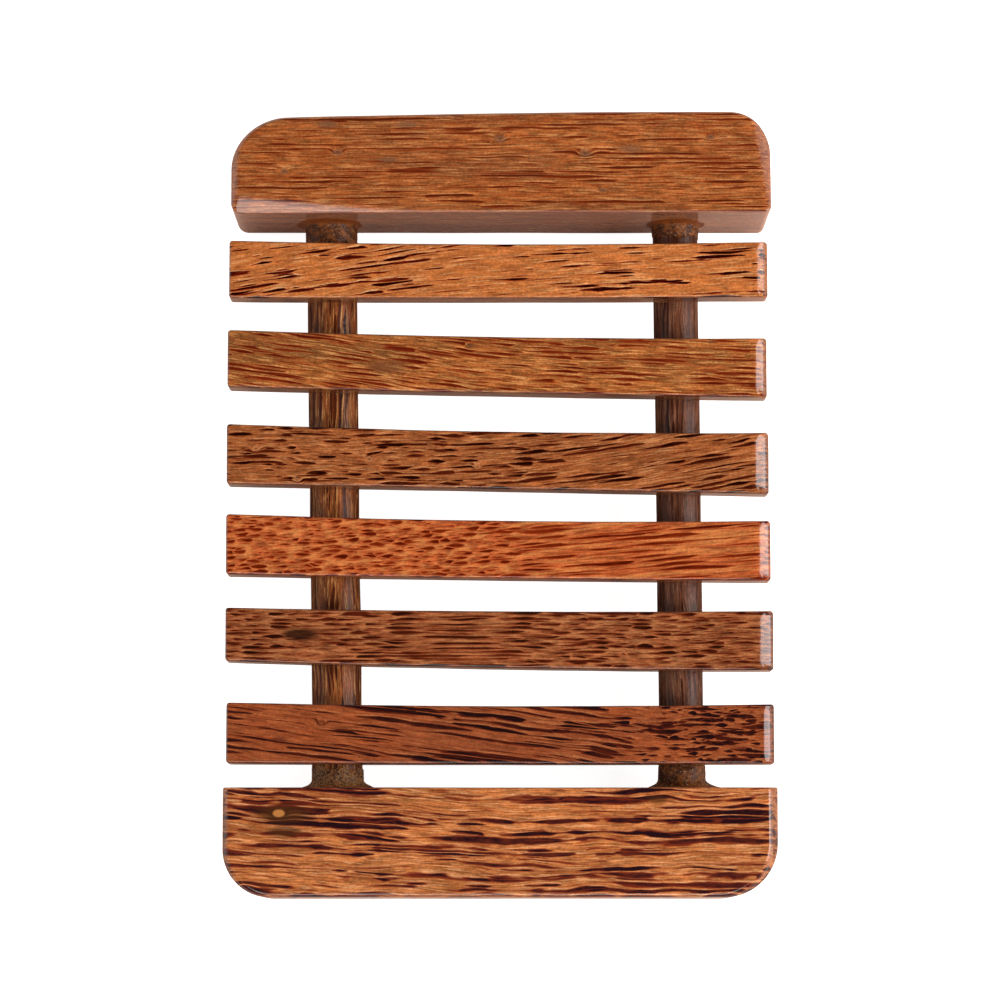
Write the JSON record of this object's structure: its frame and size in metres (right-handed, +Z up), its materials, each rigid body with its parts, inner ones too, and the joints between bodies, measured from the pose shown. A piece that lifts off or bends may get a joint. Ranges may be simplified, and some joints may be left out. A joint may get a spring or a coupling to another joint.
{
  "type": "soap dish",
  "caption": "Slatted wooden soap dish: thin cross slats glued on round dowels between two thick end blocks with rounded corners, open between the slats so that water drains.",
  "frame": {"origin": "centre of the footprint, on the undersides of the end blocks", "axes": "+Z up, +Y from the front block to the rear block, across the slats, +X along the slats to the right"},
  "size_m": [0.0836, 0.12, 0.018],
  "materials": {
    "block_wood": "clear gloss lacquer on orange-brown coconut palm wood with dark fibre flecks",
    "slat_wood": "clear gloss lacquer on red-brown coconut palm wood with dense dark fibre flecks",
    "dowel_wood": "clear gloss lacquer on dark brown turned wood",
    "dried_glue": "dried wood glue, olive-brown and glossy"
  },
  "bodies": {
    "root": {"front_end_block": "block_wood", "rear_end_block": "block_wood", "slat_1": "slat_wood", "slat_2": "slat_wood", "slat_3": "slat_wood", "slat_4": "slat_wood", "slat_5": "slat_wood", "slat_6": "slat_wood", "left_dowel": "dowel_wood", "right_dowel": "dowel_wood", "front_left_glue_collar": "dried_glue", "front_right_glue_collar": "dried_glue", "rear_left_glue_collar": "dried_glue", "rear_right_glue_collar": "dried_glue", "left_slat_glue": "dried_glue", "right_slat_glue": "dried_glue"}
  },
  "joints": []
}
